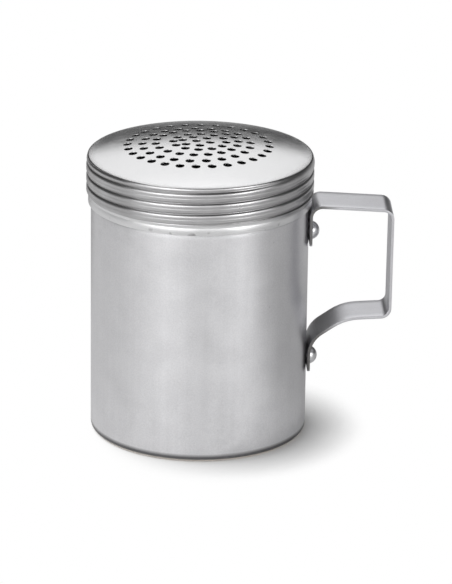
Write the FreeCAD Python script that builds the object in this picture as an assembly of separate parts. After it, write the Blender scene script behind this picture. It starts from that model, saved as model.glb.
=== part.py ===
import FreeCAD, Part
import math
import os

from FreeCAD import Vector

# A sugar dredger: a drawn can with a perforated screw lid and a strap handle held by two rivets.
# Millimetres, +Z up. The origin is on the can's axis, in the plane that it stands on.
# The handle points along +X, and -Y is the front.

# Whole object
overall_h = 96.1

# Can
can_r = 35.0
can_wall = 0.8
can_base = 0.8
foot_round = 1.5
foot_width = 2.2
base_recess = 1.3
recess_run = 1.6
neck_inset = 0.45
shoulder_run = 1.2
shoulder_above_edge = 2.3

# Lid: its plain band goes over the can's wall, and the threaded skirt swells out above it
lid_sheet = 0.6
band_gap = 0.3
skirt_swell = 0.65
crown_rise = 4.05
rim_round = 0.8
rim_inset = 0.6
rim_taper = 1.2
skirt_h = 15.55
band_h = 2.4
step_run = 0.8
seat_gap = 0.1

# Perforations: rings of holes round a centre hole, each ring with its own small shift
hole_r = 1.22
ring_radii = [22.75, 17.35, 13.25, 8.45, 4.6, 0]
ring_counts = [28, 21, 18, 12, 6, 1]
ring_turns = [-3.3, -8.2, -5.9, -4.1, 12.4, 0]
ring_shifts = [(-0.65, 1.35), (-1.3, 0.2), (-1.1, 1.05), (-0.25, 0.9), (-1.3, 0.95), (-1.3, 1.1)]

# Thread, rolled into the sheet: a groove outside is a ridge inside
pitch = 3.5
groove_depth = 0.6
groove_mouth = 3.0
groove_waist = 1.1
groove_floor = 0.3
crown_depth = 0.12
groove_above_edge = 3.7
front_turn = 268.0
groove_start_turn = 118.0
groove_turns = 3.45
fade_turns = 0.12
ridge_base = 1.5
ridge_tip = 0.5
neck_turns = 2.7
thread_play = 0.3

# Handle, a flat strap bent on edge lines
strap_w = 15.5
strap_t = 0.9
tab_gap = 0.05
handle_out = 27.05
arm_below_edge = 1.15
arm_slope = 1.4
upper_tab_h = 13.55
upper_bend_r = 3.6
grip_h = 35.9
corner_r = 3.0
grip_lean = 0.2
lower_arm_slope = 0.7
knee_out = 11.9
knee_r = 16.0
knee_drop = 7.75
ankle_r = 9.0
lower_tab_h = 10.6
strap_corner_r = 1.2

# Rivets
rivet_head_r = 3.0
rivet_head_h = 2.6
rivet_shank_r = 1.5
rivet_edge = 3.3
tail_r = 2.4
tail_h = 1.0
rivet_play = 0.03

# Overruns: of the cuts, and of a swept outline past the surface that it crosses
overrun = 2.0
flank_over = 0.08

# Places worked out from the sizes above
rim_z = overall_h - crown_rise
edge_z = rim_z - skirt_h
step_z = edge_z + band_h
band_r = can_r + band_gap + lid_sheet
skirt_r = band_r + skirt_swell
bore_r = skirt_r - lid_sheet
rim_r = skirt_r - rim_inset
can_bore_r = can_r - can_wall
neck_r = can_r - neck_inset
neck_bore_r = neck_r - can_wall
crown_r = (rim_r ** 2 + crown_rise ** 2) / (2 * crown_rise)
crown_centre_z = overall_h - crown_r
tab_x = can_r + tab_gap + strap_t / 2
grip_x = can_r + handle_out - strap_t / 2
grip_top_z = edge_z - arm_below_edge
tab_top_z = grip_top_z + arm_slope
tab_end_z = tab_top_z - upper_tab_h
grip_bottom_z = grip_top_z - grip_h
knee_z = grip_bottom_z - lower_arm_slope
ankle_z = knee_z - knee_drop
foot_end_z = ankle_z - lower_tab_h
thread_zero_z = edge_z + groove_above_edge
ridge_tip_r = skirt_r - groove_depth - lid_sheet
neck_crest_r = ridge_tip_r - thread_play
rivet_heights = [tab_end_z + rivet_edge, foot_end_z + rivet_edge]


def dome_z(radius, x):
    return crown_centre_z + math.sqrt(radius ** 2 - x ** 2)


def revolve(edges):
    face = Part.Face(Part.Wire(edges))
    return face.revolve(Vector(0, 0, 0), Vector(0, 0, 1), 360)


def lines(points):
    vectors = [Vector(x, 0, z) for x, z in points]
    return [Part.makeLine(a, b) for a, b in zip(vectors, vectors[1:])]


def arc(start, middle, end):
    a, b, c = [Vector(x, 0, z) for x, z in (start, middle, end)]
    return Part.Arc(a, b, c).toShape()


def round_circles(solid, radius, places):
    """Rounds the circular edges whose radius and height are listed."""
    chosen = []
    for edge in solid.Edges:
        if edge.Degenerated or edge.Curve.TypeId != "Part::GeomCircle":
            continue
        circle = edge.Curve
        for r, z in places:
            if abs(circle.Radius - r) < lid_sheet / 9 and abs(circle.Center.z - z) < lid_sheet / 9:
                chosen.append(edge)
    return solid.makeFillet(radius, chosen)


def helix_band(points, radius, start_turn, start_z, turns, growth=0):
    """A closed outline of (outwards from radius, up) points, swept up a right-hand helix.

    The helix widens by growth on its way up.
    """
    cone = math.atan2(growth, pitch * turns)
    slant = 1 / math.cos(cone)
    helix = Part.makeHelix(pitch * slant, pitch * turns * slant, radius, math.degrees(cone))
    corners = [Vector(radius + out, 0, up) for out, up in points]
    outline = Part.makePolygon(corners + corners[:1])
    band = Part.Wire(helix.Edges).makePipeShell([outline], True, True)
    band.rotate(Vector(0, 0, 0), Vector(0, 0, 1), start_turn)
    band.translate(Vector(0, 0, start_z))
    return band


def groove_height(turn):
    """Height of the groove's middle at an angle that counts on up the helix, lowest turn first."""
    return thread_zero_z + pitch * (turn - front_turn) / 360


def ridge_outline(height):
    """A ridge's outline: flat on top, with sloping flanks that run past its root."""
    return [
        (-math.copysign(flank_over, height), -ridge_base / 2),
        (height, -ridge_tip / 2),
        (height, ridge_tip / 2),
        (-math.copysign(flank_over, height), ridge_base / 2),
    ]


def make_can():
    foot_out = can_r - foot_round
    foot_in = foot_out - foot_width
    panel_r = foot_in - recess_run
    shoulder_top = edge_z + shoulder_above_edge
    shoulder_low = shoulder_top - shoulder_run
    mouth_z = dome_z(crown_r - lid_sheet, neck_r) - seat_gap
    lip = can_wall / 2
    inner_round = max(foot_round - can_wall, can_wall / 2)
    outline = lines([
        (0, base_recess),
        (panel_r, base_recess),
        (foot_in, 0),
        (foot_out, 0),
    ])
    turn = foot_round * (1 - math.sqrt(0.5))
    outline.append(arc((foot_out, 0), (can_r - turn, turn), (can_r, foot_round)))
    outline += lines([
        (can_r, foot_round),
        (can_r, shoulder_low),
        (neck_r, shoulder_top),
        (neck_r, mouth_z - lip),
    ])
    outline.append(arc((neck_r, mouth_z - lip), (neck_r - lip, mouth_z), (neck_bore_r, mouth_z - lip)))
    outline += lines([
        (neck_bore_r, mouth_z - lip),
        (neck_bore_r, shoulder_top - can_wall / 4),
        (can_bore_r, shoulder_low - can_wall / 4),
        (can_bore_r, can_base + inner_round),
    ])
    curve = inner_round * (1 - math.sqrt(0.5))
    outline.append(arc(
        (can_bore_r, can_base + inner_round),
        (can_bore_r - curve, can_base + curve),
        (can_bore_r - inner_round, can_base),
    ))
    outline += lines([
        (can_bore_r - inner_round, can_base),
        (foot_in, can_base),
        (panel_r, base_recess + can_base),
        (0, base_recess + can_base),
        (0, base_recess),
    ])
    can = revolve(outline)
    start_turn = groove_start_turn + 270
    start_z = groove_height(start_turn) - pitch / 2
    ridge = ridge_outline(neck_crest_r - neck_r)
    can = can.fuse(helix_band(ridge, neck_r, start_turn, start_z, neck_turns))
    for z in rivet_heights:
        can = can.cut(rivet_bore(z))
    return can


def rivet_bore(z):
    return Part.makeCylinder(rivet_shank_r + rivet_play, can_r, Vector(can_r / 2, 0, z), Vector(1, 0, 0))


def make_lid():
    inner_crown = crown_r - lid_sheet
    inner_rim_r = rim_r - lid_sheet
    inner_rim_z = dome_z(inner_crown, inner_rim_r)
    outline = [arc((0, overall_h), (rim_r / 2, dome_z(crown_r, rim_r / 2)), (rim_r, rim_z))]
    outline += lines([
        (rim_r, rim_z),
        (skirt_r, rim_z - rim_taper),
        (skirt_r, step_z + step_run),
        (band_r, step_z),
        (band_r, edge_z),
        (band_r - lid_sheet, edge_z),
        (band_r - lid_sheet, step_z),
        (bore_r, step_z + step_run),
        (bore_r, rim_z - rim_taper),
        (inner_rim_r, inner_rim_z),
    ])
    outline.append(arc(
        (inner_rim_r, inner_rim_z),
        (inner_rim_r / 2, dome_z(inner_crown, inner_rim_r / 2)),
        (0, overall_h - lid_sheet),
    ))
    outline += lines([(0, overall_h - lid_sheet), (0, overall_h)])
    lid = revolve(outline)
    lid = round_circles(lid, rim_round, [(rim_r, rim_z)])
    ridge = ridge_outline(ridge_tip_r - bore_r)
    ridge_start = groove_start_turn - 360 * fade_turns
    ridge_turns = groove_turns + 2 * fade_turns
    lid = lid.fuse(helix_band(ridge, bore_r, ridge_start, groove_height(ridge_start), ridge_turns))
    groove = [
        (-groove_depth, -groove_floor / 2),
        (-crown_depth, -groove_waist / 2),
        (flank_over, -groove_mouth / 2),
        (lid_sheet, -groove_mouth / 2),
        (lid_sheet, groove_mouth / 2),
        (flank_over, groove_mouth / 2),
        (-crown_depth, groove_waist / 2),
        (-groove_depth, groove_floor / 2),
    ]
    lid = lid.cut(helix_band(groove, skirt_r, groove_start_turn, groove_height(groove_start_turn), groove_turns))
    fade_out = groove_depth + flank_over
    end_turn = groove_start_turn + 360 * groove_turns
    lid = lid.cut(helix_band(groove, skirt_r, end_turn, groove_height(end_turn), fade_turns, fade_out))
    early_turn = groove_start_turn - 360 * fade_turns
    early_z = groove_height(early_turn)
    lid = lid.cut(helix_band(groove, skirt_r + fade_out, early_turn, early_z, fade_turns, -fade_out))
    return lid.cut(Part.makeCompound(hole_punches()))


def hole_punches():
    """The punches for all the holes: each ring counts clockwise, seen from above, from the front."""
    low = rim_z - lid_sheet
    punches = []
    for radius, count, turn, (shift_x, shift_y) in zip(ring_radii, ring_counts, ring_turns, ring_shifts):
        for i in range(count):
            angle = math.radians(turn - 90 - 360 * i / count)
            place = Vector(radius * math.cos(angle) + shift_x, radius * math.sin(angle) + shift_y, low)
            punches.append(Part.makeCylinder(hole_r, overall_h + overrun - low, place))
    return punches


def bend_arcs(points, radii, offset):
    """The line through the points with its bends rounded, moved sideways to its left by offset."""
    ends = []
    count = len(points)
    for i in range(1, count - 1):
        before = (points[i - 1] - points[i]).normalize()
        after = (points[i + 1] - points[i]).normalize()
        half = before.getAngle(after) / 2
        reach = radii[i - 1] / math.tan(half)
        middle_line = (before + after).normalize()
        centre = points[i] + middle_line * (radii[i - 1] / math.sin(half))
        left = Vector(0, 1, 0).cross(after)
        bend_left = left.dot(middle_line) > 0
        radius = radii[i - 1] - offset if bend_left else radii[i - 1] + offset
        scale = radius / radii[i - 1]
        start = centre + (points[i] + before * reach - centre) * scale
        end = centre + (points[i] + after * reach - centre) * scale
        middle = centre - middle_line * radius
        ends.append((start, middle, end))
    edges = []
    first_left = Vector(0, 1, 0).cross((points[1] - points[0]).normalize())
    last_left = Vector(0, 1, 0).cross((points[-1] - points[-2]).normalize())
    here = points[0] + first_left * offset
    for start, middle, end in ends:
        edges.append(Part.makeLine(here, start))
        edges.append(Part.Arc(start, middle, end).toShape())
        here = end
    finish = points[-1] + last_left * offset
    edges.append(Part.makeLine(here, finish))
    return edges, points[0] + first_left * offset, finish


def make_handle():
    points = [
        Vector(tab_x, 0, tab_end_z),
        Vector(tab_x, 0, tab_top_z),
        Vector(grip_x, 0, grip_top_z),
        Vector(grip_x - grip_lean, 0, grip_bottom_z),
        Vector(can_r + knee_out, 0, knee_z),
        Vector(tab_x, 0, ankle_z),
        Vector(tab_x, 0, foot_end_z),
    ]
    radii = [upper_bend_r, corner_r, corner_r, knee_r, ankle_r]
    one, one_start, one_end = bend_arcs(points, radii, strap_t / 2)
    two, two_start, two_end = bend_arcs(points, radii, -strap_t / 2)
    caps = [Part.makeLine(one_start, two_start), Part.makeLine(one_end, two_end)]
    wire = Part.Wire(Part.__sortEdges__(one + two + caps))
    strap = Part.Face(wire).extrude(Vector(0, strap_w, 0))
    strap.translate(Vector(0, -strap_w / 2, 0))
    corners = []
    for edge in strap.Edges:
        box = edge.BoundBox
        through = box.YLength < box.XLength / 9 and box.ZLength < box.XLength / 9
        if through and min(abs(box.ZMin - tab_end_z), abs(box.ZMin - foot_end_z)) < strap_t / 9:
            corners.append(edge)
    strap = strap.makeFillet(strap_corner_r, corners)
    for z in rivet_heights:
        strap = strap.cut(rivet_bore(z))
    return strap


def make_rivet(z):
    """A round-head rivet along X: the head on the strap, the tail upset inside the can."""
    seat_x = can_r + tab_gap + strap_t
    tail_x = math.sqrt(can_bore_r ** 2 - tail_r ** 2) - rivet_play
    ball_r = (rivet_head_r ** 2 + rivet_head_h ** 2) / (2 * rivet_head_h)
    ball_x = seat_x + rivet_head_h - ball_r
    middle = math.sqrt(0.5)
    edges = [
        Part.makeLine(Vector(tail_x - tail_h, 0, 0), Vector(tail_x - tail_h, 0, tail_r - tail_h / 2)),
        Part.Arc(
            Vector(tail_x - tail_h, 0, tail_r - tail_h / 2),
            Vector(tail_x - tail_h / 2 - tail_h / 2 * middle, 0, tail_r - tail_h / 2 + tail_h / 2 * middle),
            Vector(tail_x - tail_h / 2, 0, tail_r),
        ).toShape(),
        Part.makeLine(Vector(tail_x - tail_h / 2, 0, tail_r), Vector(tail_x, 0, tail_r)),
        Part.makeLine(Vector(tail_x, 0, tail_r), Vector(tail_x, 0, rivet_shank_r)),
        Part.makeLine(Vector(tail_x, 0, rivet_shank_r), Vector(seat_x, 0, rivet_shank_r)),
        Part.makeLine(Vector(seat_x, 0, rivet_shank_r), Vector(seat_x, 0, rivet_head_r)),
        Part.Arc(
            Vector(seat_x, 0, rivet_head_r),
            Vector(ball_x + ball_r * middle, 0, ball_r * middle),
            Vector(seat_x + rivet_head_h, 0, 0),
        ).toShape(),
        Part.makeLine(Vector(seat_x + rivet_head_h, 0, 0), Vector(tail_x - tail_h, 0, 0)),
    ]
    face = Part.Face(Part.Wire(edges))
    rivet = face.revolve(Vector(0, 0, 0), Vector(1, 0, 0), 360)
    rivet.translate(Vector(0, 0, z))
    return rivet


def main():
    os.makedirs("parts", exist_ok=True)
    parts = {
        "can": make_can(),
        "screw_lid": make_lid(),
        "strap_handle": make_handle(),
        "upper_rivet": make_rivet(rivet_heights[0]),
        "lower_rivet": make_rivet(rivet_heights[1]),
    }
    for name, shape in parts.items():
        solids = shape.Solids
        solid = solids[0] if len(solids) == 1 else Part.makeCompound(solids)
        box = solid.optimalBoundingBox(False, False)
        print(name, len(solids), "solid, valid", solid.isValid(), "volume", round(solid.Volume, 1))
        print("  box", [round(v, 2) for v in (box.XMin, box.YMin, box.ZMin, box.XMax, box.YMax, box.ZMax)])
        solid.exportStep("parts/" + name + ".step")


main()
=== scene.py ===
"""A satin aluminium sugar dredger: a drawn can, a pierced screw lid, a strap and two rivets."""

import logging
from dataclasses import dataclass
from enum import Enum
from math import asin, atan2, copysign, cos, degrees, exp, hypot, pi, radians, sin, sqrt, tan
from typing import Callable, Sequence

import bmesh
import bpy
from bmesh.types import BMesh as Mesh
from bpy.types import Node, NodeSocket as Socket, NodeTree, Object
from mathutils import Matrix, Vector


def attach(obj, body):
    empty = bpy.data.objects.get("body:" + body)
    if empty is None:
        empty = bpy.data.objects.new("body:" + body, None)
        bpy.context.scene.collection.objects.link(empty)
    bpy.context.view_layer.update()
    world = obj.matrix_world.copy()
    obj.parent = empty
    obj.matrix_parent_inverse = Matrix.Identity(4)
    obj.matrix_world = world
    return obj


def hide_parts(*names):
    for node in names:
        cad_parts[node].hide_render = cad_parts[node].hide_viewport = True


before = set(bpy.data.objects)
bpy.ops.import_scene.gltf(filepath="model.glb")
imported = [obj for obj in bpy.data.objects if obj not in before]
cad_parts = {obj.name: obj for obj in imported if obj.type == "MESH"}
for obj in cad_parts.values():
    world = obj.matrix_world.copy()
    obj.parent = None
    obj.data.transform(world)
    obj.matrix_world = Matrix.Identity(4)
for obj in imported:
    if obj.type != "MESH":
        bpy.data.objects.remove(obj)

LOG = logging.getLogger("dredger")
TO_METRES = 0.001
FULL_TURN = 2 * pi
MERGE_WITHIN = 1e-5
SLACK = 0.01
WALL_LAYER = "wall"
PLAIN, OUTSIDE, INSIDE = 0, 1, 2
NOISE_MIDDLE = 0.5
MIX_SHARE, MIX_FIRST, MIX_SECOND, MIX_COLOUR = 0, 6, 7, 2
WHITE = (1.0, 1.0, 1.0, 1.0)

Point = tuple[float, float]
Span = tuple[float, float]
Triple = tuple[float, float, float]
Colour = Triple


# Shader maths


def operator(operation: str, swapped: bool = False) -> Callable:
    """A method that adds one Math node for an operator of Python's, or for its reflected form."""
    return lambda wire, other: wire.maths(operation, *((other, wire) if swapped else (wire, other)))


class Wire:
    """A shader socket on which Python's operators add Math nodes."""

    def __init__(self, tree: NodeTree, socket: Socket) -> None:
        """Wraps one output socket of a node tree."""
        self.tree = tree
        self.socket = socket

    def maths(self, operation: str, *values: "Wire | float", clamp: bool = False) -> "Wire":
        """Adds one Math node.

        Args:
            operation: the node's operation.
            values: its inputs, in order.
            clamp: whether the result stays between 0 and 1.

        Returns:
            The node's output.
        """
        node = self.tree.nodes.new("ShaderNodeMath")
        node.operation = operation
        node.use_clamp = clamp
        for socket, value in zip(node.inputs, values):
            if isinstance(value, Wire):
                self.tree.links.new(value.socket, socket)
            else:
                socket.default_value = value
        return Wire(self.tree, node.outputs[0])

    __add__, __radd__ = operator("ADD"), operator("ADD", swapped=True)
    __sub__, __rsub__ = operator("SUBTRACT"), operator("SUBTRACT", swapped=True)
    __mul__, __rmul__ = operator("MULTIPLY"), operator("MULTIPLY", swapped=True)
    __pow__ = operator("POWER")

    def between(self, low: float, high: float) -> "Wire":
        """0 at low and under, 1 at high and over, straight between."""
        return self.maths("MULTIPLY", self - low, 1 / (high - low), clamp=True)

    def within(self, rise: Span, fall: Span) -> "Wire":
        """0 outside both spans, 1 between them, straight across each."""
        return self.between(*rise) * (1 - self.between(*fall))


@dataclass(frozen=True)
class Place:
    """The shaded point in the object's own coordinates, in metres."""

    tree: "ShaderTree"
    socket: Socket
    x: Wire
    y: Wire
    z: Wire

    def radius(self) -> Wire:
        """Its distance from the Z axis."""
        return (self.x * self.x + self.y * self.y) ** 0.5

    def noise(self, scale: float, detail: float, rough: float = 0.5) -> Wire:
        """The tree's noise in these coordinates."""
        return self.tree.noise(self.socket, scale, detail, rough)


class ShaderTree:
    """A node tree being filled."""

    def __init__(self, owner: bpy.types.Material | bpy.types.World) -> None:
        """Turns its owner's nodes on, and empties them."""
        owner.use_nodes = True
        self.tree = owner.node_tree
        self.tree.nodes.clear()

    def add(self, kind: str, settings: dict | None = None, sockets: dict | None = None) -> Node:
        """Adds one node.

        Args:
            kind: the node's type, without its ShaderNode prefix.
            settings: the node's own properties, set first.
            sockets: input name or number to a value, a Wire, a socket or a node.

        Returns:
            The node.
        """
        node = self.tree.nodes.new("ShaderNode" + kind)
        for name, value in (settings or {}).items():
            setattr(node, name, value)
        for name, value in (sockets or {}).items():
            if isinstance(value, (Wire, Node)):
                value = value.socket if isinstance(value, Wire) else value.outputs[0]
            if isinstance(value, Socket):
                self.tree.links.new(value, node.inputs[name])
            else:
                node.inputs[name].default_value = value
        return node

    def wire(self, socket: Socket) -> Wire:
        """The socket, ready for maths."""
        return Wire(self.tree, socket)

    def place(self) -> Place:
        """The shaded point.

        Returns:
            Its Object coordinates, together and one by one.
        """
        socket = self.add("TexCoord").outputs["Object"]
        parts = self.add("SeparateXYZ", sockets={"Vector": socket})
        return Place(self, socket, *(self.wire(output) for output in parts.outputs))

    def noise(self, vector: Socket, scale: float, detail: float, rough: float = 0.5) -> Wire:
        """Noise, mostly between 0.3 and 0.7.

        Args:
            vector: the coordinates.
            scale: features for each unit of them.
            detail: how many finer layers.
            rough: the finer layers' share.

        Returns:
            The noise value.
        """
        sockets = {"Vector": vector, "Scale": scale, "Detail": detail, "Roughness": rough}
        return self.wire(self.add("TexNoise", {"noise_dimensions": "3D"}, sockets).outputs[0])

    def mix(self, share: Wire, first: "Colour | Socket", second: Colour) -> Socket:
        """Lays one colour over another.

        Args:
            share: how much of the second shows, from 0 to 1.
            first: the colour under it, or its socket.
            second: the colour on top.

        Returns:
            The mixed colour's socket.
        """
        under = (*first, 1.0) if isinstance(first, tuple) else first
        sockets = {MIX_SHARE: share, MIX_FIRST: under, MIX_SECOND: (*second, 1.0)}
        return self.add("Mix", {"data_type": "RGBA"}, sockets).outputs[MIX_COLOUR]

    def rays(self) -> tuple[Wire, Wire]:
        """What kind of ray arrives.

        Returns:
            1 for a ray from the camera, and 1 for one from a gloss or a clear body.
        """
        kinds = ("Is Camera Ray", "Is Glossy Ray", "Is Transmission Ray")
        path = self.add("LightPath")
        camera, gloss, clear = (self.wire(path.outputs[kind]) for kind in kinds)
        return camera, gloss.maths("MAXIMUM", gloss, clear)

    def grey(self, tone: Wire) -> Socket:
        """A grey of this tone."""
        return self.add("CombineColor", sockets={0: tone, 1: tone, 2: tone}).outputs[0]

    def show(self, surface: Node, kind: str = "OutputMaterial") -> None:
        """Links a shader node to the tree's output."""
        self.add(kind, sockets={"Surface": surface})


# Finishes


class Grain(Enum):
    """Which way a sheet was brushed, as how close its lines lie along X, Y and Z."""

    UP = (1.0, 1.0, 0.02)
    ALONG = (0.03, 1.0, 0.03)
    NONE = (1.0, 1.0, 1.0)


@dataclass(frozen=True)
class SatinAluminium:
    """Bare sheet aluminium with a fine grain, some clouding and a few specks.

    A scale is in features for each metre. A span holds the values where a mask is 0 and 1.
    """

    name: str
    slot: str
    grain: Grain
    light: Colour
    dark: Colour
    roughness: float
    rough_more: float = 0.0
    rough_z: Span = (0.09195, 0.09255)
    anisotropy: float = 0.0
    turned: float = 0.0
    line_scale: float = 2600.0
    line_height: float = 0.000012
    broad_share: float = 0.16
    cloud_scale: float = 45.0
    tone_span: Span = (0.3, 0.7)
    cloud_tone: float = 0.5
    broad_tone: float = 0.3
    fine_tone: float = 0.2
    grit_scale: float = 2200.0
    grit_span: Span = (0.25, 0.75)
    grit: float = 0.25
    specks: float = 0.4
    speck_scale: float = 260.0
    speck_span: Span = (0.03, 0.10)
    flock_scale: float = 90.0
    flock_span: Span = (0.60, 0.68)
    speck_colour: Colour = (0.30, 0.30, 0.31)
    speck_depth: float = 2.0
    fine_height: float = 0.6
    broad_height: float = 0.9
    coarse_swing: float = 0.10
    fine_swing: float = 0.06

    def stains(self, at: Place) -> list[tuple[Wire, Colour]]:
        """Where the metal is dull with dirt or shade.

        Args:
            at: the shaded point.

        Returns:
            For each kind of stain how strong it is, from 0 to 1, and its colour.
        """
        return []

    def material(self) -> bpy.types.Material:
        """Makes the material.

        Returns:
            A material with its own node tree.
        """
        made = bpy.data.materials.new(self.name)
        shader = ShaderTree(made)
        at = shader.place()
        brushed = {"Vector": at.socket, "Scale": self.grain.value}
        lined = shader.add("Mapping", sockets=brushed).outputs[0]
        fine = shader.noise(lined, self.line_scale, detail=3.0, rough=0.6)
        broad = shader.noise(lined, self.line_scale * self.broad_share, detail=2.0)
        cloud = at.noise(self.cloud_scale, detail=4.0, rough=0.55)
        spread = {"Vector": at.socket, "Scale": self.speck_scale, "Randomness": 1.0}
        dots = shader.add("TexVoronoi", {"feature": "F1"}, spread)
        flock = at.noise(self.flock_scale, detail=1.0)
        near = 1 - shader.wire(dots.outputs["Distance"]).between(*self.speck_span)
        speck = near * flock.between(*self.flock_span) * self.specks
        grain = at.noise(self.grit_scale, detail=1.0).between(*self.grit_span)
        tone = cloud.between(*self.tone_span) * self.cloud_tone
        tone = tone + broad.between(*self.tone_span) * self.broad_tone
        tone = tone + fine.between(*self.tone_span) * self.fine_tone
        tone = tone * (1 - self.grit) + grain * self.grit
        colour = shader.mix(tone, self.dark, self.light)
        colour = shader.mix(speck, colour, self.speck_colour)
        for stain, dull in self.stains(at):
            colour = shader.mix(stain, colour, dull)
        rough = (cloud + broad - 2 * NOISE_MIDDLE) * self.coarse_swing + self.roughness
        if self.rough_more:
            rough = rough + (1 - at.z.between(*self.rough_z)) * self.rough_more
        rough = rough + (fine - NOISE_MIDDLE) * self.fine_swing
        height = fine * self.fine_height + broad * self.broad_height - speck * self.speck_depth
        relief = {"Strength": 1.0, "Distance": self.line_height, "Height": height}
        bump = shader.add("Bump", sockets=relief)
        shader.show(shader.add("BsdfPrincipled", sockets={
            "Base Color": colour,
            "Metallic": 1.0,
            "Roughness": rough,
            "Anisotropic": self.anisotropy,
            "Anisotropic Rotation": self.turned,
            "Normal": bump,
        }))
        return made

    def dress(self, piece: Object) -> None:
        """Gives the piece this finish.

        Args:
            piece: the object.
        """
        piece.data.materials.clear()
        piece.data.materials.append(self.material())


@dataclass(frozen=True)
class CanAluminium(SatinAluminium):
    """The can's finish, with painted shade and a painted warm reflection at the foot, and a painted
    shadow under the lid's edge.
    """

    # painted shade: a dark band on the foot's rounding, where the can meets the floor
    foot_z: Span = (0.0016, 0.0027)
    foot_radius: Span = (0.0330, 0.0338)
    foot_painted_shade: Colour = (0.17, 0.17, 0.175)
    # painted reflection: a warm lighter edge at the very bottom, where the rounding faces the floor
    foot_reflection_z: Span = (0.0005, 0.0010)
    painted_foot_reflection: Colour = (0.92, 0.87, 0.82)
    # painted shadow: a dark line on the wall just under the lid's edge; its colour also serves the
    # smudges
    lid_shadow_rise: Span = (0.0756, 0.0763)
    lid_shadow_fall: Span = (0.0767, 0.0771)
    lid_shadow_strength: float = 0.6
    shade_and_smudge: Colour = (0.45, 0.45, 0.46)
    smudge_scale: float = 75.0
    smudge_span: Span = (0.52, 0.70)
    smudge_low_z: Span = (0.004, 0.022)
    smudge_high_z: Span = (0.060, 0.0765)
    smudge_ends: float = 0.22
    smudge_all: float = 0.08

    def stains(self, at: Place) -> list[tuple[Wire, Colour]]:
        """Painted shade at the foot, a painted warm reflection on its lowest edge, a painted shadow
        under the lid's edge, and smudges.

        Args:
            at: the shaded point.

        Returns:
            Four stains and their colours.
        """
        outside = at.radius().between(*self.foot_radius)
        # painted shade on the foot's rounding, where the can meets the floor
        foot = (1 - at.z.between(*self.foot_z)) * outside
        # painted warm reflection of the floor on the foot's lowest edge
        painted_foot_reflection = (1 - at.z.between(*self.foot_reflection_z)) * outside
        # painted shadow: a dark line on the wall just under the lid's edge
        line = at.z.within(self.lid_shadow_rise, self.lid_shadow_fall) * self.lid_shadow_strength
        smudge = at.noise(self.smudge_scale, detail=5.0, rough=0.65)
        low = 1 - at.z.between(*self.smudge_low_z)
        ends = low + at.z.between(*self.smudge_high_z)
        share = ends * self.smudge_ends + self.smudge_all
        smudged = smudge.between(*self.smudge_span) * share
        return [
            (foot, self.foot_painted_shade), (painted_foot_reflection, self.painted_foot_reflection), (line, self.shade_and_smudge),
            (smudged, self.shade_and_smudge),
        ]


@dataclass(frozen=True)
class StrapAluminium(SatinAluminium):
    """The strap's finish, with darker cut edges, and painted shade on the tabs' cut edges and on
    the lower arm beside the can.
    """

    side_y: Span = (0.00763, 0.00771)
    side_strength: float = 0.32
    side_dark: Colour = (0.34, 0.335, 0.34)
    # painted shade on the tabs' cut edges, which sit against the can
    tab_x: Span = (0.0385, 0.0445)
    tab_shade_strength: float = 0.85
    tab_painted_shade: Colour = (0.13, 0.125, 0.12)
    # painted shade on the lower arm beside the can
    arm_shade_x: Span = (0.0395, 0.0475)
    arm_shade_z: Span = (0.036, 0.040)
    arm_shade_strength: float = 0.8
    arm_painted_shade: Colour = (0.42, 0.42, 0.43)

    def stains(self, at: Place) -> list[tuple[Wire, Colour]]:
        """Painted shade on the lower arm beside the can, darker cut edges, and painted shade on the
        tabs' cut edges.

        Args:
            at: the shaded point.

        Returns:
            Three stains and their colours.
        """
        # darker on all the cut edges
        side = at.y.maths("ABSOLUTE", at.y).between(*self.side_y)
        # painted shade on the tabs' cut edges, beside the can
        tab = side * (1 - at.x.between(*self.tab_x)) * self.tab_shade_strength
        # painted shade on the lower arm beside the can
        low = (1 - at.x.between(*self.arm_shade_x)) * (1 - at.z.between(*self.arm_shade_z))
        return [
            (low * self.arm_shade_strength, self.arm_painted_shade), (side * self.side_strength, self.side_dark),
            (tab, self.tab_painted_shade),
        ]


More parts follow.
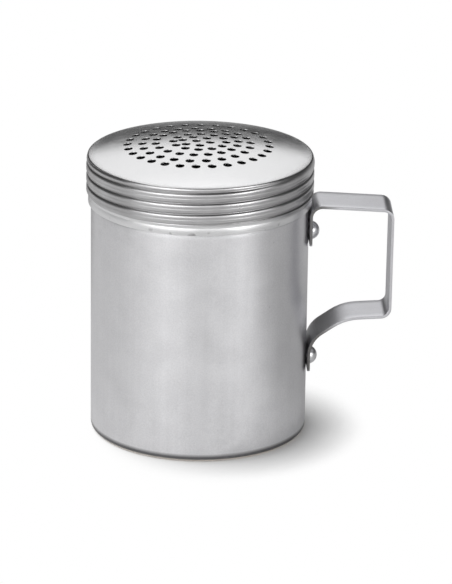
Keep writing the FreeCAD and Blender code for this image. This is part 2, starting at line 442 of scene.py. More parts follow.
@dataclass(frozen=True)
class LidAluminium(SatinAluminium):
    """The lid's finish, with darker rolled grooves, dirt dings and a painted shadow on the band,
    and painted shade in the holes.
    """

    skirt_radius: float = 0.03655
    taper_z: float = 0.08985
    taper_bow: float = 124.0
    skirt_rise: Span = (0.0797, 0.0801)
    skirt_fall: Span = (0.09195, 0.09225)
    skirt_dull: float = 0.75
    patch_scale: float = 70.0
    patch_span: Span = (0.35, 0.65)
    patch_swing: float = 0.5
    patch_least: float = 0.7
    dull: Colour = (0.42, 0.415, 0.42)
    groove_depth: Span = (0.00034, 0.00060)
    dirt_and_shade: Colour = (0.30, 0.295, 0.30)
    # painted shadow on the band and step below the thread's last turn, at the front right
    band_shadow_x: tuple[Span, Span] = ((0.0215, 0.0275), (0.0325, 0.0355))
    band_shadow_y: Span = (-0.004, 0.0)
    band_shadow_z: tuple[Span, Span] = ((0.0783, 0.0791), (0.0802, 0.0814))
    band_shadow_strength: float = 0.7
    edge_z: tuple[Span, Span] = ((0.0763, 0.0765), (0.0771, 0.0781))
    ding_scale: float = 230.0
    ding_span: Span = (0.60, 0.70)
    ding_strength: float = 0.8
    sphere: float = 0.16158
    top_z: float = 0.0961
    # painted shade on the walls of the holes
    pattern_radius: Span = (0.0265, 0.0270)
    hole_depth: Span = (0.00008, 0.00018)
    shade: Colour = (0.03, 0.03, 0.03)
    rough_more: float = 0.09

    def stains(self, at: Place) -> list[tuple[Wire, Colour]]:
        """Dullness on the skirt, darker grooves, dirt dings and a painted shadow on the band, and
        painted shade in the holes.

        Args:
            at: the shaded point.

        Returns:
            Five stains and their colours.
        """
        z, radius = at.z, at.radius()
        skirt = z.within(self.skirt_rise, self.skirt_fall)
        patches = at.noise(self.patch_scale, detail=3.0).between(*self.patch_span)
        dull = skirt * self.skirt_dull * (patches * self.patch_swing + self.patch_least)
        above = z.maths("MAXIMUM", z - self.taper_z, 0.0)
        deep = self.skirt_radius - radius - above * above * self.taper_bow
        # darker in the rolled grooves
        groove = deep.between(*self.groove_depth) * skirt
        # painted shadow on the band and step below the thread's last turn, at the front right
        band_shadow = at.x.within(*self.band_shadow_x) * (1 - at.y.between(*self.band_shadow_y))
        band_shadow = band_shadow * z.within(*self.band_shadow_z) * self.band_shadow_strength
        spots = at.noise(self.ding_scale, detail=2.0).between(*self.ding_span)
        dings = spots * z.within(*self.edge_z) * self.ding_strength
        # painted shade on the walls of the holes
        up = z + (self.sphere - self.top_z)
        under = self.sphere - (radius * radius + up * up) ** 0.5
        hole = under.between(*self.hole_depth) * (1 - radius.between(*self.pattern_radius))
        return [
            (dull, self.dull), (groove, self.dirt_and_shade), (band_shadow, self.dirt_and_shade), (dings, self.dirt_and_shade),
            (hole, self.shade),
        ]


# Meshes


def arc(centre: Point, radius: float, start: float, end: float, parts: int) -> list[Point]:
    """Points on a circle's arc.

    Args:
        centre: the circle's centre.
        radius: its radius.
        start: the first angle, in degrees.
        end: the last angle, in degrees.
        parts: how many chords.

    Returns:
        The points, both ends included.
    """
    angles = [radians(start + (end - start) * i / parts) for i in range(parts + 1)]
    return [(centre[0] + radius * cos(a), centre[1] + radius * sin(a)) for a in angles]


def run(start: Point, end: Point, parts: int) -> list[Point]:
    """Points on a straight line, both ends included.

    Args:
        start: the first point.
        end: the last point.
        parts: how many equal parts.

    Returns:
        The points.
    """
    (a, b), (c, d) = start, end
    return [(a + (c - a) * i / parts, b + (d - b) * i / parts) for i in range(parts + 1)]


def trace(start: Point, stretches: Sequence[tuple]) -> list[Point]:
    """Points along stretches, each of which starts where the last one ends.

    Args:
        start: the first point.
        stretches: what run() takes after its start, or what arc() takes.

    Returns:
        The points.
    """
    points = [start]
    for stretch in stretches:
        straight = len(stretch) == 2
        points += (run(points[-1], *stretch) if straight else arc(*stretch))[1:]
    return points


def spin_profile(profile: Sequence[Point], steps: int, walls: Sequence[int] = ()) -> Mesh:
    """Spins an outline of (radius, height) points once round the Z axis.

    Args:
        profile: the outline, from the axis back to the axis.
        steps: how many parts the full turn has.
        walls: a number for each point, which a layer of the vertices then holds, or nothing.

    Returns:
        A closed mesh with its faces outwards, in the profile's unit.
    """
    mesh = bmesh.new()
    wall_of = mesh.verts.layers.int.new(WALL_LAYER) if walls else None
    verts = [mesh.verts.new((r, 0.0, z)) for r, z in profile]
    for vert, wall in zip(verts, walls):
        vert[wall_of] = wall
    edges = [mesh.edges.new(pair) for pair in zip(verts, verts[1:])]
    bmesh.ops.spin(
        mesh, geom=verts + edges, cent=(0, 0, 0), axis=(0, 0, 1), angle=FULL_TURN, steps=steps,
        use_merge=True,
    )
    bmesh.ops.remove_doubles(mesh, verts=mesh.verts, dist=MERGE_WITHIN)
    bmesh.ops.recalc_face_normals(mesh, faces=mesh.faces)
    return mesh


def add_object(name: str, data: Mesh | bpy.types.ID) -> Object:
    """Adds an object to the scene.

    Args:
        name: its name.
        data: what it shows. A mesh that is being edited is stored first, and freed.

    Returns:
        The object.
    """
    if isinstance(data, Mesh):
        edited, data = data, bpy.data.meshes.new(name)
        edited.to_mesh(data)
        edited.free()
    made = bpy.data.objects.new(name, data)
    bpy.context.scene.collection.objects.link(made)
    return made


def make_piece(name: str, mesh: Mesh) -> Object:
    """Turns a mesh in millimetres into a smooth-shaded object in metres.

    Args:
        name: the object's name.
        mesh: the mesh, which is freed.

    Returns:
        The object, linked to the scene.
    """
    bmesh.ops.scale(mesh, vec=(TO_METRES,) * 3, verts=mesh.verts)
    for face in mesh.faces:
        face.smooth = True
    return add_object(name, mesh)


def punch(blank: Object, punches: Object) -> None:
    """Cuts the punches out of the blank, and removes them.

    Args:
        blank: the piece that gets the holes.
        punches: one object with all the punches.
    """
    cut = blank.modifiers.new("holes", "BOOLEAN")
    cut.operation = "DIFFERENCE"
    cut.solver = "EXACT"
    cut.object = punches
    graph = bpy.context.evaluated_depsgraph_get()
    pierced = bpy.data.meshes.new_from_object(blank.evaluated_get(graph))
    blank.modifiers.clear()
    old, blank.data = blank.data, pierced
    name = old.name
    bpy.data.meshes.remove(old)
    pierced.name = name
    tools = punches.data
    bpy.data.objects.remove(punches)
    bpy.data.meshes.remove(tools)


# The pieces


@dataclass(frozen=True)
class Thread:
    """The rolled right-hand thread, as a groove in the lid that is a ridge on its inner side."""

    pitch: float = 3.5
    zero_z: float = 80.2
    zero_turn: float = 268.0
    start_turn: float = 118.0
    turns: float = 3.45
    fade: float = 0.12
    groove_depth: float = 0.34
    groove_half: float = 0.42
    swell: float = 0.08
    crease: float = 0.09
    crease_half: float = 0.38
    ridge_h: float = 0.6
    ridge_base: float = 1.5
    ridge_tip: float = 0.5

    def place(self, angle: float, z: float, lift: float = 0.0) -> tuple[float, float]:
        """Where a point lies on the helix.

        Args:
            angle: degrees round the axis.
            z: height.
            lift: how far this helix stands above the groove's.

        Returns:
            The height over the nearest turn's middle, and that turn counted from the start.
        """
        part = (angle - self.zero_turn) / 360
        turn = part + round((z - lift - self.zero_z) / self.pitch - part)
        off = z - lift - self.zero_z - self.pitch * turn
        return off, turn - (self.start_turn - self.zero_turn) / 360

    def groove(self, angle: float, z: float) -> float:
        """How deep the groove is at a point of the skirt's outside.

        Args:
            angle: degrees round the axis.
            z: height.

        Returns:
            The depth.
        """
        off, turn = self.place(angle, z)
        depth = self.groove_depth * exp(-(off / self.groove_half) ** 2)
        depth += self.swell * (1 + cos(FULL_TURN * off / self.pitch))
        depth += self.crease * exp(-((self.pitch / 2 - abs(off)) / self.crease_half) ** 2)
        ends = max(0.0, -turn, turn - self.turns) / self.fade
        return depth * max(0.0, 1.0 - ends)

    def ridge(self, angle: float, z: float, first: float, last: float, lift: float = 0.0) -> float:
        """A ridge's height at a point, from 0 to 1.

        Args:
            angle: degrees round the axis.
            z: height.
            first: the turn at which the ridge starts, counted from the groove's start.
            last: the turn at which it ends.
            lift: how far it stands above the groove's helix.

        Returns:
            The share of the ridge's full height.
        """
        off, turn = self.place(angle, z, lift)
        rise = (self.ridge_base / 2 - abs(off)) / (self.ridge_base / 2 - self.ridge_tip / 2)
        ends = max(0.0, first - turn, turn - last) / self.fade
        return min(1.0, max(0.0, rise)) * max(0.0, 1.0 - ends)


@dataclass
class Can:
    """The drawn can: base, wall, shoulder and threaded neck."""

    thread: Thread
    radius: float = 35.0
    wall: float = 0.8
    base: float = 0.8
    foot_round: float = 1.5
    foot_width: float = 2.2
    base_recess: float = 1.3
    recess_run: float = 1.6
    neck_radius: float = 34.55
    shoulder_top: float = 78.8
    shoulder_run: float = 1.2
    mouth_z: float = 91.65
    crest_radius: float = 35.05
    ridge_first: float = 0.75
    ridge_turns: float = 2.7
    thread_row: float = 0.17
    steps: int = 256
    finish: SatinAluminium = CanAluminium(
        "can_satin", "can_metal", Grain.UP, (0.855, 0.852, 0.867), (0.67, 0.667, 0.682), 0.37,
        anisotropy=0.4, turned=0.25, line_scale=700.0, line_height=0.000003, cloud_scale=110.0,
        grit=0.4, specks=0.35,
    )

    def profile(self) -> list[Point]:
        """The wall's outline, from under the base round to inside the base.

        Returns:
            Points of (radius, height).
        """
        out, neck = self.radius, self.neck_radius
        inside, bore = out - self.wall, neck - self.wall
        foot_out = out - self.foot_round
        foot_in = foot_out - self.foot_width
        panel = foot_in - self.recess_run
        shoulder_low = self.shoulder_top - self.shoulder_run
        lip = self.wall / 2
        top = self.mouth_z - lip
        drop = self.wall / 4
        soft = self.foot_round - self.wall
        return trace((0.0, self.base_recess), (
            ((panel, self.base_recess), 8),
            ((foot_in, 0.0), 4),
            ((foot_out, 0.0), 2),
            ((foot_out, self.foot_round), self.foot_round, -90, 0, 8),
            ((out, shoulder_low), 24),
            ((neck, self.shoulder_top), 6),
            ((neck, top), round((top - self.shoulder_top) / self.thread_row)),
            ((neck - lip, top), lip, 0, 180, 10),
            ((bore, self.shoulder_top - drop), 8),
            ((inside, shoulder_low - drop), 3),
            ((inside, self.base + soft), 12),
            ((inside - soft, self.base + soft), soft, 0, -90, 5),
            ((foot_in, self.base), 2),
            ((panel, self.base + self.base_recess), 3),
            ((0.0, self.base + self.base_recess), 8),
        ))

    def build(self) -> Object:
        """Makes the can.

        Returns:
            The finished object.
        """
        mesh = spin_profile(self.profile(), self.steps)
        last = self.ridge_first + self.ridge_turns
        for vert in mesh.verts:
            x, y, z = vert.co
            radius = hypot(x, y)
            if z > self.shoulder_top and radius > self.neck_radius - SLACK:
                angle = degrees(atan2(y, x))
                share = self.thread.ridge(angle, z, self.ridge_first, last, -self.thread.pitch / 2)
                grown = radius + share * (self.crest_radius - self.neck_radius)
                vert.co.x, vert.co.y = x * grown / radius, y * grown / radius
        piece = make_piece("can_shell", mesh)
        self.finish.dress(piece)
        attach(piece, "can_body")
        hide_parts("can")
        return piece


@dataclass
class Lid:
    """The pressed lid: perforated crown, threaded skirt, step and band.

    A ring of holes has a radius, a count, a turn in degrees and its middle's place.
    """

    thread: Thread
    top_z: float = 96.1
    sheet: float = 0.6
    skirt_radius: float = 36.55
    band_radius: float = 35.9
    crown_rise: float = 4.05
    rim_round: float = 0.8
    rim_inset: float = 0.6
    rim_taper: float = 2.2
    skirt_h: float = 15.55
    band_h: float = 2.4
    step_run: float = 1.9
    band_flare: float = 0.16
    flare_z: float = 0.7
    edge_round: float = 0.18
    hole_radius: float = 1.3
    hole_round: float = 0.2
    rings: tuple[tuple[float, int, float, Point], ...] = (
        (22.75, 28, -3.3, (-0.65, 1.35)),
        (17.35, 21, -8.2, (-1.3, 0.2)),
        (13.25, 18, -5.9, (-1.1, 1.05)),
        (8.45, 12, -4.1, (-0.25, 0.9)),
        (4.6, 6, 12.4, (-1.3, 0.95)),
        (0.0, 1, 0.0, (-1.3, 1.1)),
    )
    steps: int = 288
    row: float = 0.1
    inner_row: float = 0.27
    punch_depth: float = 1.6
    punch_over: float = 0.5
    punch_slope: float = 20.0
    punch_steps: int = 28
    crown_slack: float = 0.006
    crease_angle: float = 8.0
    finish: SatinAluminium = LidAluminium(
        "lid_satin", "lid_metal", Grain.NONE, (0.83, 0.83, 0.835), (0.76, 0.76, 0.77), 0.22,
        line_scale=1200.0, line_height=0.000003, cloud_scale=140.0, grit=0.3, specks=0.15,
    )

    @property
    def rim_radius(self) -> float:
        """Where the crown would meet the tapered skirt, were their corner sharp."""
        return self.skirt_radius - self.rim_inset

    @property
    def crown_radius(self) -> float:
        """The sphere's radius."""
        return (self.rim_radius ** 2 + self.crown_rise ** 2) / (2 * self.crown_rise)

    def skirt_at(self, z: float) -> float:
        """The skirt's radius at a height, with its taper under the rim.

        Args:
            z: the height.

        Returns:
            The radius.
        """
        above = max(0.0, z - (self.top_z - self.crown_rise - self.rim_taper))
        return self.skirt_radius - self.rim_inset * (above / self.rim_taper) ** 2

    def crown_z(self, radius: float, depth: float = 0.0) -> float:
        """The crown's height at a distance from the axis.

        Args:
            radius: the distance.
            depth: how far below the outer sphere.

        Returns:
            The height.
        """
        sphere = self.crown_radius
        return self.top_z - sphere + sqrt((sphere - depth) ** 2 - radius ** 2)

    def rim(self) -> list[Point]:
        """The rounded corner between crown and skirt.

        Returns:
            Points from the crown to the skirt.
        """
        along = Vector((2 * self.rim_inset, -self.rim_taper)).normalized()
        outwards = Vector((-along.y, along.x))
        low = self.crown_radius - self.top_z
        corner = Vector((self.rim_radius, self.top_z - self.crown_rise + low))
        start = corner - outwards * self.rim_round
        half = start.dot(along)
        reach = self.crown_radius - self.rim_round
        centre = start + along * (-half - sqrt(half ** 2 - start.length_squared + reach ** 2))
        first = degrees(atan2(centre.y, centre.x))
        last = degrees(atan2(outwards.y, outwards.x))
        return arc((centre.x, centre.y - low), self.rim_round, first, last, 12)

    def profile(self) -> tuple[list[Point], list[int]]:
        """The sheet's outline and, for each point, the wall that it is on.

        Returns:
            Points of (radius, height), and their walls.
        """
        rim = self.rim()
        crown_end, rim_z = rim[0][0], rim[-1][1]
        edge_z = self.top_z - self.crown_rise - self.skirt_h
        step_z = edge_z + self.band_h
        step_top = step_z + self.step_run
        radii = [crown_end * i / 32 for i in range(32)]
        rows = run(rim[-1], (self.skirt_radius, step_top), round((rim_z - step_top) / self.row))
        count = round(self.step_run / self.row)
        width = self.skirt_radius - self.band_radius + self.band_flare
        ease = [(i / count, 0.5 - 0.5 * cos(pi * i / count)) for i in range(1, count + 1)]
        step = [(self.skirt_radius - width * e, step_top - self.step_run * s) for s, e in ease]
        lip, bore = self.edge_round, self.band_radius - self.sheet
        band = []
        for _, z in run((0, step_z), (0, edge_z + lip), 18)[1:]:
            bow = max(0.0, (z - edge_z - self.flare_z) / (self.band_h - self.flare_z)) ** 2
            band.append((self.band_radius - self.band_flare * bow, z))
        band += arc((self.band_radius - lip, edge_z + lip), lip, 0, -90, 4)[1:]
        band += arc((bore + lip, edge_z + lip), lip, -90, -180, 4)
        inner = self.rim_radius - self.sheet
        inner_top = self.crown_z(inner, self.sheet)
        inner_count = round((inner_top - step_top) / self.inner_row)
        inner_rows = run((0, step_top), (0, inner_top), inner_count)
        shares = [1 - i / 24 for i in range(25)]
        parts = [
            ([(r, self.crown_z(r)) for r in radii], PLAIN),
            (rim, OUTSIDE),
            ([(self.skirt_at(z), z) for _, z in rows[1:]], OUTSIDE),
            (step, OUTSIDE),
            (band, PLAIN),
            (run((bore, edge_z + lip), (bore, step_z), 3)[1:], PLAIN),
            ([(max(bore, r - self.sheet), z) for r, z in reversed(step[2:-1:3])], INSIDE),
            ([(max(inner, self.skirt_at(z) - self.sheet), z) for _, z in inner_rows], INSIDE),
            ([(inner * share, self.crown_z(inner * share, self.sheet)) for share in shares],
             PLAIN),
        ]
        points = [point for part, _ in parts for point in part]
        return points, [wall for part, wall in parts for _ in part]

    def blank(self) -> Mesh:
        """Makes the lid with its thread and without its holes.

        Returns:
            The mesh, in millimetres.
        """
        points, walls = self.profile()
        mesh = spin_profile(points, self.steps, walls)
        wall_of = mesh.verts.layers.int[WALL_LAYER]
        bore = self.skirt_radius - self.sheet
        for vert in mesh.verts:
            if vert[wall_of] == PLAIN:
                continue
            x, y, z = vert.co
            radius = hypot(x, y)
            angle = degrees(atan2(y, x))
            if vert[wall_of] == OUTSIDE:
                pressed = min(radius, self.skirt_at(z) - self.thread.groove(angle, z))
            else:
                share = self.thread.ridge(angle, z, 0.0, self.thread.turns)
                pressed = min(radius, bore - self.thread.ridge_h * share)
            vert.co.x, vert.co.y = x * pressed / radius, y * pressed / radius
        mesh.verts.layers.int.remove(wall_of)
        return mesh

    def hole_centres(self) -> list[Point]:
        """The holes' places seen from above, each ring counted clockwise from the front.

        Returns:
            Points of (x, y).
        """
        centres = []
        for radius, count, turn, (shift_x, shift_y) in self.rings:
            for i in range(count):
                a = radians(turn - 90 - 360 * i / count)
                centres.append((shift_x + radius * cos(a), shift_y + radius * sin(a)))
        return centres

    def punches(self) -> Mesh:
        """Makes a tool for each hole, square to the crown, with a flare that softens the edge.

        Returns:
            One mesh with all the tools, in millimetres.
        """
        r, soft = self.hole_radius, self.hole_round
        flare = arc((r + soft, -soft), soft, 180, 90 + self.punch_slope, 4)
        slope = tan(radians(self.punch_slope))
        wide = (flare[-1][0] + self.punch_over, flare[-1][1] + self.punch_over * slope)
        outline = [(0.0, -self.punch_depth), (r, -self.punch_depth), *flare, wide]
        outline.append((0.0, self.punch_over))
        mesh = bmesh.new()
        for x, y in self.hole_centres():
            tool = spin_profile(outline, self.punch_steps)
            z = self.crown_z(hypot(x, y))
            normal = Vector((x, y, z - self.top_z + self.crown_radius))
            turn = normal.to_track_quat("Z", "Y").to_matrix().to_4x4()
            bmesh.ops.transform(tool, matrix=Matrix.Translation((x, y, z)) @ turn, verts=tool.verts)
            data = bpy.data.meshes.new("punch")
            tool.to_mesh(data)
            tool.free()
            mesh.from_mesh(data)
            bpy.data.meshes.remove(data)
        return mesh

    def crease_holes(self, piece: Object) -> None:
        """Marks the holes' outer edges sharp, so that the crown stays smooth up to them.

        Args:
            piece: the pierced lid.
        """
        centre = Vector((0.0, 0.0, self.top_z - self.crown_radius)) * TO_METRES
        radius = self.crown_radius * TO_METRES
        rim_z = (self.top_z - self.crown_rise + self.rim_round) * TO_METRES
        slack, sharp = self.crown_slack * TO_METRES, radians(self.crease_angle)
        mesh = bmesh.new()
        mesh.from_mesh(piece.data)
        for edge in mesh.edges:
            ends = [v.co for v in edge.verts]
            outer = all(p.z > rim_z and abs((p - centre).length - radius) < slack for p in ends)
            if outer and len(edge.link_faces) == 2 and edge.calc_face_angle() > sharp:
                edge.smooth = False
        mesh.to_mesh(piece.data)
        mesh.free()

    def build(self) -> Object:
        """Makes the lid.

        Returns:
            The finished object.
        """
        piece = make_piece("lid_shell", self.blank())
        punch(piece, make_piece("hole_punches", self.punches()))
        self.crease_holes(piece)
        self.finish.dress(piece)
        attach(piece, "lid")
        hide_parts("screw_lid")
        return piece


@dataclass
class StrapHandle:
    """A flat strap with softened edges, bent along a line of runs and bends."""

    width: float = 15.5
    thick: float = 0.9
    corner_round: float = 1.2
    edge_round: float = 0.16
    can_radius: float = 35.0
    tab_gap: float = 0.05
    reach: float = 62.05
    tab_top_z: float = 76.75
    tab_end_z: float = 63.2
    grip_top_z: float = 75.35
    grip_bottom_z: float = 39.45
    grip_lean: float = 0.2
    knee: Point = (46.9, 38.75)
    ankle_z: float = 31.0
    foot_end_z: float = 20.4
    bends: tuple[float, ...] = (3.6, 3.0, 3.0, 16.0, 9.0)
    rivet_edge: float = 3.3
    bore_radius: float = 1.53
    bore_h: float = 4.0
    bend_step: float = 6.0
    lanes: tuple[float, ...] = (-5.0, -2.5, 0.0, 2.5, 5.0)
    finish: SatinAluminium = StrapAluminium(
        "strap_satin", "strap_metal", Grain.ALONG, (0.85, 0.85, 0.88), (0.69, 0.69, 0.72), 0.38,
        line_scale=2200.0, cloud_scale=120.0, grit=0.4, specks=0.6,
    )

    def corners(self) -> list[Vector]:
        """The bend line's corners.

        Returns:
            Points (x, z), from the upper tab's end to the lower one's.
        """
        tab_x = self.can_radius + self.tab_gap + self.thick / 2
        grip_x = self.reach - self.thick / 2
        return [
            Vector((tab_x, self.tab_end_z)),
            Vector((tab_x, self.tab_top_z)),
            Vector((grip_x, self.grip_top_z)),
            Vector((grip_x - self.grip_lean, self.grip_bottom_z)),
            Vector(self.knee),
            Vector((tab_x, self.ankle_z)),
            Vector((tab_x, self.foot_end_z)),
        ]

    def stretches(self) -> list[Triple]:
        """The line as straight runs and bends.

        Returns:
            Each stretch's length, its turn in radians, anticlockwise positive, and its radius.
            A run's turn and radius are 0.
        """
        line = self.corners()
        sides = [(b - a) for a, b in zip(line, line[1:])]
        turns = [a.angle_signed(b) * -1 for a, b in zip(sides, sides[1:])]
        cuts = [0.0, *(r * tan(abs(t) / 2) for r, t in zip(self.bends, turns)), 0.0]
        made = []
        for i, side in enumerate(sides):
            made.append((side.length - cuts[i] - cuts[i + 1], 0.0, 0.0))
            if i < len(turns):
                made.append((self.bends[i] * abs(turns[i]), turns[i], self.bends[i]))
        return made

    def bend_point(self, s: float, out: float) -> Point:
        """Where a point of the flat strap goes.

        Args:
            s: its distance along the strap.
            out: its height over the middle of the sheet.

        Returns:
            The point (x, z).
        """
        place = self.corners()[0].copy()
        heading = pi / 2
        for length, turn, radius in self.stretches():
            part = min(s, length) if length else 0.0
            if turn:
                sign = copysign(1.0, turn)
                left = Vector((-sin(heading), cos(heading)))
                centre = place + left * radius * sign
                heading += sign * part / radius
                right = Vector((sin(heading), -cos(heading)))
                place = centre + right * radius * sign
            else:
                place = place + Vector((cos(heading), sin(heading))) * part
            s -= length
            if s <= 0:
                break
        side = Vector((-sin(heading), cos(heading)))
        return tuple(place + side * out)

    def cut_lines(self) -> list[float]:
        """Where the flat strap is divided along its length, so that its bends come out round.

        Returns:
            Distances from its end.
        """
        lines, here = [], 0.0
        for length, turn, _ in self.stretches():
            count = max(4, round(abs(degrees(turn)) / self.bend_step)) if turn else 2
            lines += [here + length * i / count for i in range(count + 1)]
            here += length
        return sorted({round(v, 4) for v in lines})[1:-1]

    def build(self) -> Object:
        """Makes the strap.

        Returns:
            The finished object.
        """
        total = sum(length for length, _, _ in self.stretches())
        mesh = bmesh.new()
        bmesh.ops.create_cube(mesh, size=1.0)
        bmesh.ops.scale(mesh, vec=(total, self.width, self.thick), verts=mesh.verts)
        bmesh.ops.translate(mesh, vec=(total / 2, 0, 0), verts=mesh.verts)
        for upright, offset, parts in ((True, self.corner_round, 7), (False, self.edge_round, 3)):
            drops = [(e, abs(e.verts[0].co.z - e.verts[1].co.z)) for e in mesh.edges]
            bmesh.ops.bevel(
                mesh, geom=[e for e, drop in drops if (drop > self.thick / 2) == upright],
                offset=offset, affect="EDGES", segments=parts, profile=0.5, material=-1,
            )
        planes = [((s, 0, 0), (1, 0, 0)) for s in self.cut_lines()]
        planes += [((0, y, 0), (0, 1, 0)) for y in self.lanes]
        for place, across in planes:
            everything = [*mesh.verts, *mesh.edges, *mesh.faces]
            bmesh.ops.bisect_plane(mesh, geom=everything, plane_co=place, plane_no=across)
        bores = bmesh.new()
        for s in (self.rivet_edge, total - self.rivet_edge):
            bmesh.ops.create_cone(
                bores, cap_ends=True, segments=40, radius1=self.bore_radius,
                radius2=self.bore_radius, depth=self.bore_h, matrix=Matrix.Translation((s, 0, 0)),
            )
        piece = make_piece("flat_strap", mesh)
        punch(piece, make_piece("strap_bores", bores))
        bent = bmesh.new()
        bent.from_mesh(piece.data)
        for vert in bent.verts:
            s, y, out = vert.co / TO_METRES
            x, z = self.bend_point(s, out)
            vert.co = Vector((x, y, z)) * TO_METRES
        bmesh.ops.recalc_face_normals(bent, faces=bent.faces)
        bent.to_mesh(piece.data)
        bent.free()
        piece.name = piece.data.name = "strap_loop"
        self.finish.dress(piece)
        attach(piece, "can_body")
        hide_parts("strap_handle")
        return piece


@dataclass
class Rivet:
    """A round-head rivet along X, with its tail upset inside the can."""

    name: str
    node: str
    z: float
    seat_x: float = 35.95
    tail_x: float = 34.086
    head_radius: float = 3.0
    head_h: float = 2.6
    head_rim: float = 0.12
    head_start: float = 2.5
    shank_radius: float = 1.5
    tail_radius: float = 2.4
    tail_h: float = 1.0
    steps: int = 56
    finish: SatinAluminium = SatinAluminium(
        "rivet_satin", "rivet_metal", Grain.NONE, (0.82, 0.82, 0.83), (0.68, 0.68, 0.70), 0.30,
        line_scale=900.0, line_height=0.00002, cloud_scale=300.0, specks=0.3,
    )

    def build(self) -> Object:
        """Makes the rivet.

        Returns:
            The finished object.
        """
        ball = (self.head_radius ** 2 + self.head_h ** 2) / (2 * self.head_h)
        half = degrees(asin(min(1.0, self.head_radius / ball)))
        soft = self.tail_h / 2
        outline = [(0.0, self.tail_x - self.tail_h)]
        outline += arc((self.tail_radius - soft, self.tail_x - soft), soft, -90, 0, 6)
        outline += [(self.tail_radius, self.tail_x), (self.shank_radius, self.tail_x)]
        rim = self.head_radius - self.head_rim
        outline += [(self.shank_radius, self.seat_x), (rim, self.seat_x)]
        top = self.seat_x + self.head_h
        outline += arc((0.0, top - ball), ball, 90 - half + self.head_start, 90, 14)
        mesh = spin_profile(outline, self.steps)
        lying = Matrix.Rotation(pi / 2, 3, "Y")
        bmesh.ops.rotate(mesh, cent=(0, 0, 0), matrix=lying, verts=mesh.verts)
        bmesh.ops.translate(mesh, vec=(0, 0, self.z), verts=mesh.verts)
        piece = make_piece(self.name, mesh)
        self.finish.dress(piece)
        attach(piece, "can_body")
        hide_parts(self.node)
        return piece


# The studio


def direction(azimuth: float, elevation: float) -> Vector:
    """A direction from the object.

    Args:
        azimuth: degrees to the right of the front.
        elevation: degrees above the floor.

    Returns:
        A vector of length 1.
    """
    a, e = radians(azimuth), radians(elevation)
    return Vector((sin(a) * cos(e), -cos(a) * cos(e), sin(e)))


@dataclass(frozen=True)
class Softbox:
    """A soft lamp that faces the object. Its level is how bright its face is, where 1 is white."""

    name: str
    azimuth: float
    level: float
    elevation: float = 12.0
    width: float = 0.34
    height: float = 0.42
    distance: float = 0.9

    def build(self, target: Vector) -> None:
        """Makes the lamp.

        Args:
            target: where it points.
        """
        lamp = bpy.data.lights.new(self.name, "AREA")
        lamp.shape = "RECTANGLE"
        lamp.size, lamp.size_y = self.width, self.height
        lamp.energy = self.level * pi * self.width * self.height
        away = direction(self.azimuth, self.elevation)
        holder = add_object(self.name, lamp)
        holder.location = target + away * self.distance
        holder.rotation_euler = away.to_track_quat("Z", "Y").to_euler()
        holder.visible_camera = False


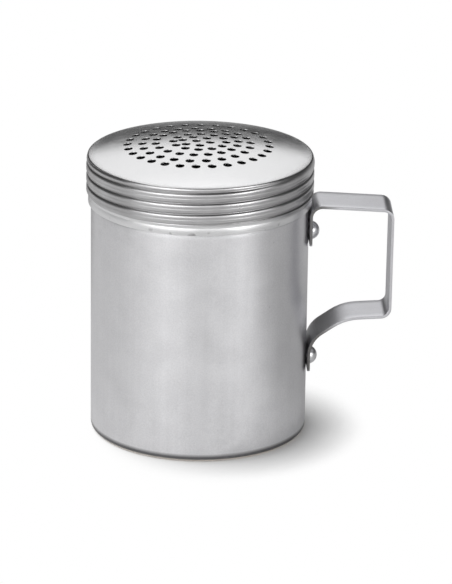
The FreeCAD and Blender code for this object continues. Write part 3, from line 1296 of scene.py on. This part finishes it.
@dataclass
class Studio:
    """Floor, dim room, soft lamps, world and camera."""

    lamps: tuple[Softbox, ...] = (
        Softbox("panel_left_3", -60.0, 1.40),
        Softbox("panel_left_2", -40.0, 2.80),
        Softbox("panel_left_1", -20.0, 2.40),
        Softbox("panel_front", 0.0, 1.10),
        Softbox("panel_right_1", 20.0, 1.11),
        Softbox("panel_right_2", 40.0, 3.80),
        Softbox("panel_right_3", 60.0, 1.30),
        Softbox("back_high", 180.0, 0.95, 34.0, 0.5, 0.5),
        Softbox("top_back", 180.0, 0.80, 62.0, 0.6, 0.5),
        Softbox("top_left_front", -60.0, 0.87, 62.0, 0.6, 0.5),
        Softbox("top_left_back", -120.0, 1.07, 62.0, 0.6, 0.5),
    )
    floor_half: float = 3.0
    floor_drop: float = 0.00002
    floor_tone: float = 0.80
    front_tone: float = 0.30
    front_y: Span = (-0.26, -0.19)
    # a painted shadow of the can on the floor at the back right
    side_towards: float = 45.0
    side_near: Span = (0.02, 0.06)
    side_far: Span = (0.13, 0.22)
    painted_shadow_dim: float = 0.40
    far_part: float = 0.70
    shade_from: Triple = (-0.72, 0.28, 0.64)
    shade_reach: float = 0.024
    shade_range: Span = (0.35, 0.84)
    shade_samples: int = 16
    gloss_glow: float = 0.27
    room_radius: float = 2.4
    room_low: float = -0.01
    room_level: float = 0.06
    target: Triple = (0.008705, -0.000308, 0.04531)
    distance: float = 1.2597
    elevation: float = 19.663
    turned: float = 2.0
    roll: float = 0.747
    focal_px: float = 3894.5
    frame_h: int = 584
    sensor: float = 36.0
    clip: Span = (0.05, 20.0)

    def build_floor(self) -> None:
        """A floor that is white to the camera, but for the object's shadow.

        It is painted darker far in front, where less light falls, and with a shadow of the can at
        the back right, for light and reflections.
        """
        mesh = bmesh.new()
        bmesh.ops.create_grid(mesh, x_segments=1, y_segments=1, size=self.floor_half)
        bmesh.ops.translate(mesh, vec=(0, 0, -self.floor_drop), verts=mesh.verts)
        floor = add_object("floor", mesh)
        made = bpy.data.materials.new("floor_white")
        shader = ShaderTree(made)
        at = shader.place()
        # painted fall-off of light: the floor is darker far in front
        near = at.y.between(*self.front_y)
        side = radians(self.side_towards)
        out = at.x * cos(side) + at.y * sin(side)
        # painted shadow of the can on the floor at the back right, which the metal reflects
        bump = out.between(*self.side_near) * (1 - out.between(*self.side_far) * self.far_part)
        share = 1 - bump * self.painted_shadow_dim
        tone = (near * (self.floor_tone - self.front_tone) + self.front_tone) * share
        matt = shader.add("BsdfDiffuse", sockets={"Color": shader.grey(tone)})
        camera, gloss = shader.rays()
        x, y, z = self.shade_from
        towards = shader.add("CombineXYZ", sockets={0: x, 1: y, 2: z})
        reach = {"Distance": self.shade_reach, "Normal": towards}
        shade = shader.add("AmbientOcclusion", {"samples": self.shade_samples}, reach)
        clear = shader.wire(shade.outputs["AO"]).between(*self.shade_range)
        shine = {"Color": shader.grey(share), "Strength": self.gloss_glow}
        glow = shader.add("Emission", sockets=shine)
        both = shader.add("AddShader", sockets={0: matt, 1: glow})
        met = shader.add("MixShader", sockets={0: gloss * clear, 1: matt, 2: both})
        white = shader.add("Emission", sockets={"Color": WHITE, "Strength": 1.0})
        shader.show(shader.add("MixShader", sockets={0: camera * clear, 1: met, 2: white}))
        floor.data.materials.append(made)

    def build_room(self) -> None:
        """The dim room round the table, which the metal sees and the camera doesn't."""
        mesh = bmesh.new()
        bmesh.ops.create_uvsphere(mesh, u_segments=48, v_segments=24, radius=self.room_radius)
        below = [v for v in mesh.verts if v.co.z < self.room_low]
        bmesh.ops.delete(mesh, geom=below, context="VERTS")
        room = add_object("room", mesh)
        room.visible_camera = False
        room.visible_shadow = False
        material = bpy.data.materials.new("room_dim")
        shader = ShaderTree(material)
        glow = {"Color": WHITE, "Strength": self.room_level}
        shader.show(shader.add("Emission", sockets=glow))
        room.data.materials.append(material)

    def build_world(self) -> None:
        """A world that is white where it is seen and as dim as the room where it lights."""
        world = bpy.data.worlds.new("studio_world")
        shader = ShaderTree(world)
        camera, gloss = shader.rays()
        lit = shader.add("Background", sockets={"Color": WHITE, "Strength": self.room_level})
        white = shader.add("Background", sockets={"Color": WHITE, "Strength": 1.0})
        seen = camera.maths("MAXIMUM", camera, gloss)
        shader.show(shader.add("MixShader", sockets={0: seen, 1: lit, 2: white}), "OutputWorld")
        bpy.context.scene.world = world

    def build_camera(self) -> None:
        """The camera at the photograph's angle."""
        back = direction(-self.turned, self.elevation)
        turned, roll = radians(self.turned), radians(self.roll)
        level = Vector((cos(turned), -sin(turned), 0.0))
        up = back.cross(level)
        right = level * cos(roll) + up * sin(roll)
        up = up * cos(roll) - level * sin(roll)
        data = bpy.data.cameras.new("camera")
        data.sensor_width = self.sensor
        data.lens = self.focal_px * self.sensor / self.frame_h
        data.clip_start, data.clip_end = self.clip
        camera = add_object("camera", data)
        place = Matrix((right, up, back)).transposed().to_4x4()
        place.translation = Vector(self.target) + back * self.distance
        camera.matrix_world = place
        bpy.context.scene.camera = camera

    def build(self) -> None:
        """Sets up the whole studio."""
        bpy.context.scene.view_settings.view_transform = "Standard"
        self.build_floor()
        self.build_room()
        self.build_world()
        for lamp in self.lamps:
            lamp.build(Vector(self.target))
        self.build_camera()


def main() -> None:
    """Builds the pieces in order, then the studio."""
    logging.basicConfig(level=logging.INFO, format="%(name)s: %(message)s")
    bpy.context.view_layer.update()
    thread = Thread()
    upper = Rivet("rivet_upper", "upper_rivet", 66.5)
    lower = Rivet("rivet_lower", "lower_rivet", 23.7)
    for part in (Can(thread), Lid(thread), StrapHandle(), upper, lower):
        piece = part.build()
        LOG.info("%s: %d faces", piece.name, len(piece.data.polygons))
    Studio().build()


if __name__ == "__main__":
    main()
